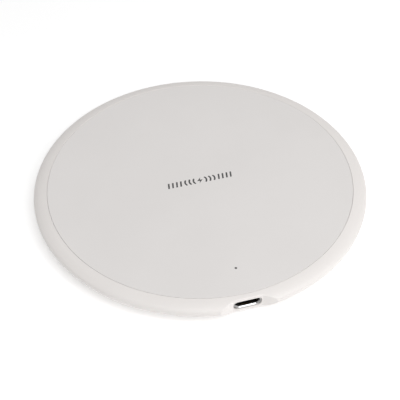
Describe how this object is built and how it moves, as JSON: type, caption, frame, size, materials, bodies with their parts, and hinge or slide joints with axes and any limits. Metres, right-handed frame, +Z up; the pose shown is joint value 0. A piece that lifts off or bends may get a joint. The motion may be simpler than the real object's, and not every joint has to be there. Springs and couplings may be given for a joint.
{
  "type": "wireless charging pad",
  "caption": "Slim round wireless charging pad with a flat inset charging face, a rounded rim, a small status light and a micro-USB inlet in a flat-faced notch of the rim.",
  "frame": {"origin": "centre of the underside, on the surface that the feet stand on", "axes": "+Z up out of the charging face; -Y out of the inlet; +X to the right of the inlet seen from -Y"},
  "size_m": [0.1, 0.0993, 0.0064],
  "materials": {
    "shell_plastic": "satin",
    "cover_plastic": "satin",
    "print_ink": "matte",
    "light_guide_plastic": "gloss",
    "foot_rubber": "matte",
    "screw_steel": "satin",
    "coil_copper": "satin",
    "adhesive_film": "gloss",
    "ferrite": "matte",
    "foam": "matte",
    "board_laminate": "satin",
    "tin": "satin",
    "solder": "polished",
    "film_capacitor_body": "satin",
    "capacitor_ceramic": "satin",
    "resistor_body": "satin",
    "lamp_body": "gloss",
    "chip_epoxy": "matte",
    "choke_ferrite": "matte",
    "thermistor_epoxy": "gloss",
    "receptacle_steel": "satin",
    "receptacle_plastic": "satin",
    "contact_gold": "polished"
  },
  "bodies": {
    "root": {"housing": "shell_plastic", "top_cover": "cover_plastic", "printed_mark": "print_ink", "light_guide": "light_guide_plastic", "rubber_feet": "foot_rubber", "case_screws": "screw_steel", "coil_winding": "coil_copper", "coil_lead_inner": "coil_copper", "coil_lead_outer": "coil_copper", "coil_tape": "adhesive_film", "ferrite_shield": "ferrite", "foam_pad": "foam", "circuit_board": "board_laminate", "board_pads": "tin", "solder_joints": "solder", "resonant_capacitors": "film_capacitor_body", "chip_capacitors": "capacitor_ceramic", "chip_resistors": "resistor_body", "status_lamp": "lamp_body", "chip_end_caps": "tin", "controller_chip": "chip_epoxy", "controller_leads": "tin", "power_transistors": "chip_epoxy", "transistor_leads": "tin", "input_choke": "choke_ferrite", "thermistor": "thermistor_epoxy", "thermistor_leads": "tin", "usb_shell": "receptacle_steel", "usb_insulator": "receptacle_plastic", "usb_contacts": "contact_gold"}
  },
  "joints": []
}
